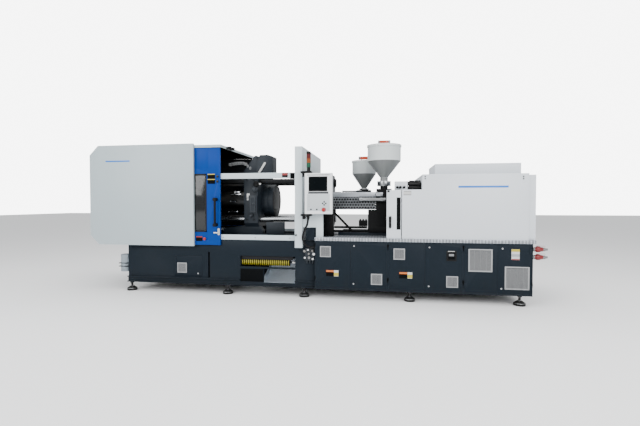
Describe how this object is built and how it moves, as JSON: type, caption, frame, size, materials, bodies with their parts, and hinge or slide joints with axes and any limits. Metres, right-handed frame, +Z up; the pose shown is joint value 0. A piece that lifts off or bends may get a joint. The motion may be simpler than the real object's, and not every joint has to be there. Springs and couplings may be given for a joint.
{
  "type": "injection moulding machine",
  "caption": "Horizontal two-component injection moulding machine with sliding safety doors, rotary mould table and twin hoppers.",
  "frame": {"origin": "on the floor, under the middle of the machine's box", "axes": "+X towards the injection end, +Y away from the operator, +Z up"},
  "size_m": [6.39, 1.7432, 2.2183],
  "materials": {
    "base_paint": "textured slate powder coat",
    "guard_paint": "light grey-white powder coat",
    "door_paint": "satin blue powder coat",
    "window": "tinted polycarbonate",
    "handle_paint": "dark satin enamel",
    "tread_plate": "rolled tread pattern",
    "zinc_sheet": "spangled zinc",
    "dark_casting": "dark enamel on cast iron",
    "ground_steel": "ground and hard plated",
    "white_lever": "white enamel",
    "foot_iron": "black iron",
    "lamp_plastic": "black housing with coloured lenses",
    "conduit_rubber": "corrugated black conduit",
    "pump_grey": "grey moulded tank",
    "nickel_valve": "nickel plated brass",
    "lever_red": "dipped red",
    "button_black": "black button",
    "button_red": "red mushroom head",
    "unit_black": "black enamel",
    "guard_mesh": "perforated stainless sheet",
    "hopper_steel": "brushed stainless",
    "roller_yellow": "yellow moulded ribs"
  },
  "bodies": {
    "machine": {"clamp_base": "base_paint", "injection_base": "base_paint", "levelling_feet": "foot_iron", "deck_plate": "tread_plate", "drop_chute": "zinc_sheet", "clamp_guards": "guard_paint", "door_rails": "guard_paint", "platen_guard": "guard_paint", "fixed_platen": "dark_casting", "tie_bars": "ground_steel", "rear_platen": "dark_casting", "clamp_cylinder": "dark_casting", "traverse_cylinders": "dark_casting", "panel_arms": "handle_paint", "stack_lamp": "lamp_plastic", "panel_conduit": "conduit_rubber", "injection_covers": "guard_paint", "grease_pump": "pump_grey", "valve_block": "nickel_valve", "water_valves": "nickel_valve"},
    "front_door": {"front_door": "door_paint", "front_door_window": "window", "front_door_handle": "handle_paint"},
    "door_key_upper": {"door_key_upper": "button_black"},
    "door_key_lower": {"door_key_lower": "button_black"},
    "door_stop_button": {"door_stop_button": "button_red"},
    "rear_door": {"rear_door": "door_paint"},
    "platen": {"moving_platen": "dark_casting", "table_bearing": "dark_casting", "clamp_ram": "ground_steel", "traverse_rods": "ground_steel"},
    "rotary_table": {"rotary_table": "dark_casting"},
    "safety_lever": {"safety_lever": "white_lever"},
    "panel": {"panel_case": "guard_paint"},
    "emergency_button": {"emergency_button": "button_red"},
    "clamp_access_door": {"clamp_access_door": "base_paint"},
    "injection_guard": {"injection_guard": "guard_paint"},
    "discharge_roller": {"discharge_roller": "roller_yellow"},
    "valve_lever_upper": {"valve_lever_upper": "lever_red"},
    "valve_lever_lower": {"valve_lever_lower": "lever_red"},
    "cabinet_door_1": {"cabinet_door_1": "base_paint"},
    "cabinet_door_2": {"cabinet_door_2": "base_paint"},
    "cabinet_door_3": {"cabinet_door_3": "base_paint"},
    "cabinet_door_4": {"cabinet_door_4": "base_paint"},
    "cabinet_door_5": {"cabinet_door_5": "base_paint"},
    "cabinet_door_6": {"cabinet_door_6": "base_paint"},
    "front_unit": {"front_carriage": "unit_black", "front_barrel": "ground_steel", "front_barrel_guard": "guard_mesh", "front_hopper": "hopper_steel"},
    "front_drive": {"front_drive": "unit_black"},
    "front_screw": {"front_screw": "ground_steel"},
    "front_hopper_lid": {"front_hopper_lid": "hopper_steel"},
    "rear_unit": {"rear_carriage": "unit_black", "rear_barrel": "ground_steel", "rear_barrel_guard": "guard_mesh", "rear_hopper": "hopper_steel"},
    "rear_drive": {"rear_drive": "unit_black"},
    "rear_screw": {"rear_screw": "ground_steel"},
    "rear_hopper_lid": {"rear_hopper_lid": "hopper_steel"}
  },
  "joints": [
    {"name": "front_door_slide", "type": "slide", "parent": "machine", "child": "front_door", "axis": [1, 0, 0], "range_m": [0, 1.1]},
    {"name": "rear_door_slide", "type": "slide", "parent": "machine", "child": "rear_door", "axis": [1, 0, 0], "range_m": [0, 1.1]},
    {"name": "platen_slide", "type": "slide", "parent": "machine", "child": "platen", "axis": [1, 0, 0], "range_m": [0, 0.33]},
    {"name": "table_turn", "type": "hinge", "parent": "platen", "child": "rotary_table", "pos_m": [-0.6067, 0.07165, 1.35], "axis": [1, 0, 0], "range_deg": [0, 180]},
    {"name": "safety_lever_swing", "type": "hinge", "parent": "platen", "child": "safety_lever", "pos_m": [-0.612, -0.25835, 1.912], "axis": [0, 1, 0], "range_deg": [0, 50]},
    {"name": "panel_swivel", "type": "hinge", "parent": "machine", "child": "panel", "pos_m": [0.158, -0.80835, 1.165], "axis": [0, 0, 1], "range_deg": [-60, 30]},
    {"name": "emergency_press", "type": "slide", "parent": "panel", "child": "emergency_button", "axis": [0, 1, 0], "range_m": [0, 0.005], "stiffness_N_per_m": 400},
    {"name": "door_key_upper_press", "type": "slide", "parent": "front_door", "child": "door_key_upper", "axis": [0, 1, 0], "range_m": [0, 0.005], "stiffness_N_per_m": 400},
    {"name": "door_key_lower_press", "type": "slide", "parent": "front_door", "child": "door_key_lower", "axis": [0, 1, 0], "range_m": [0, 0.005], "stiffness_N_per_m": 400},
    {"name": "door_stop_press", "type": "slide", "parent": "front_door", "child": "door_stop_button", "axis": [0, 1, 0], "range_m": [0, 0.005], "stiffness_N_per_m": 400},
    {"name": "cabinet_door_1_hinge", "type": "hinge", "parent": "machine", "child": "cabinet_door_1", "pos_m": [0.239, -0.73135, 0.155], "axis": [0, 0, -1], "range_deg": [0, 90]},
    {"name": "cabinet_door_2_hinge", "type": "hinge", "parent": "machine", "child": "cabinet_door_2", "pos_m": [1.212, -0.73135, 0.155], "axis": [0, 0, 1], "range_deg": [0, 90]},
    {"name": "cabinet_door_3_hinge", "type": "hinge", "parent": "machine", "child": "cabinet_door_3", "pos_m": [1.224, -0.73135, 0.155], "axis": [0, 0, -1], "range_deg": [0, 90]},
    {"name": "cabinet_door_4_hinge", "type": "hinge", "parent": "machine", "child": "cabinet_door_4", "pos_m": [2.168, -0.73135, 0.155], "axis": [0, 0, 1], "range_deg": [0, 90]},
    {"name": "cabinet_door_5_hinge", "type": "hinge", "parent": "machine", "child": "cabinet_door_5", "pos_m": [2.18, -0.73135, 0.155], "axis": [0, 0, -1], "range_deg": [0, 90]},
    {"name": "cabinet_door_6_hinge", "type": "hinge", "parent": "machine", "child": "cabinet_door_6", "pos_m": [3.001, -0.73135, 0.155], "axis": [0, 0, 1], "range_deg": [0, 90]},
    {"name": "clamp_access_hinge", "type": "hinge", "parent": "machine", "child": "clamp_access_door", "pos_m": [-1.885, -0.65135, 0.229], "axis": [0, 0, -1], "range_deg": [0, 90]},
    {"name": "injection_guard_slide", "type": "slide", "parent": "machine", "child": "injection_guard", "axis": [1, 0, 0], "range_m": [-0.45, 0]},
    {"name": "roller_spin", "type": "hinge", "parent": "machine", "child": "discharge_roller", "pos_m": [-0.863, -0.54835, 0.467], "axis": [1, 0, 0], "continuous": true},
    {"name": "valve_upper_turn", "type": "hinge", "parent": "machine", "child": "valve_lever_upper", "pos_m": [3.077, -0.66835, 0.748], "axis": [0, 0, 1], "range_deg": [-90, 0]},
    {"name": "valve_lower_turn", "type": "hinge", "parent": "machine", "child": "valve_lever_lower", "pos_m": [3.077, -0.66835, 0.649], "axis": [0, 0, 1], "range_deg": [-90, 0]},
    {"name": "front_unit_slide", "type": "slide", "parent": "machine", "child": "front_unit", "axis": [1, 0, 0], "range_m": [0, 0.115]},
    {"name": "front_drive_slide", "type": "slide", "parent": "front_unit", "child": "front_drive", "axis": [1, 0, 0], "range_m": [-0.15, 0]},
    {"name": "front_screw_spin", "type": "hinge", "parent": "front_drive", "child": "front_screw", "pos_m": [1.873, -0.17835, 1.35], "axis": [1, 0, 0], "continuous": true},
    {"name": "front_lid_hinge", "type": "hinge", "parent": "front_unit", "child": "front_hopper_lid", "pos_m": [1.163, 0.08365, 2.1353], "axis": [-1, 0, 0], "range_deg": [0, 100]},
    {"name": "rear_unit_slide", "type": "slide", "parent": "machine", "child": "rear_unit", "axis": [1, 0, 0], "range_m": [0, 0.115]},
    {"name": "rear_drive_slide", "type": "slide", "parent": "rear_unit", "child": "rear_drive", "axis": [1, 0, 0], "range_m": [-0.15, 0]},
    {"name": "rear_screw_spin", "type": "hinge", "parent": "rear_drive", "child": "rear_screw", "pos_m": [1.559, 0.32165, 1.35], "axis": [1, 0, 0], "continuous": true},
    {"name": "rear_lid_hinge", "type": "hinge", "parent": "rear_unit", "child": "rear_hopper_lid", "pos_m": [0.849, 0.53265, 1.9673], "axis": [-1, 0, 0], "range_deg": [0, 100]}
  ]
}
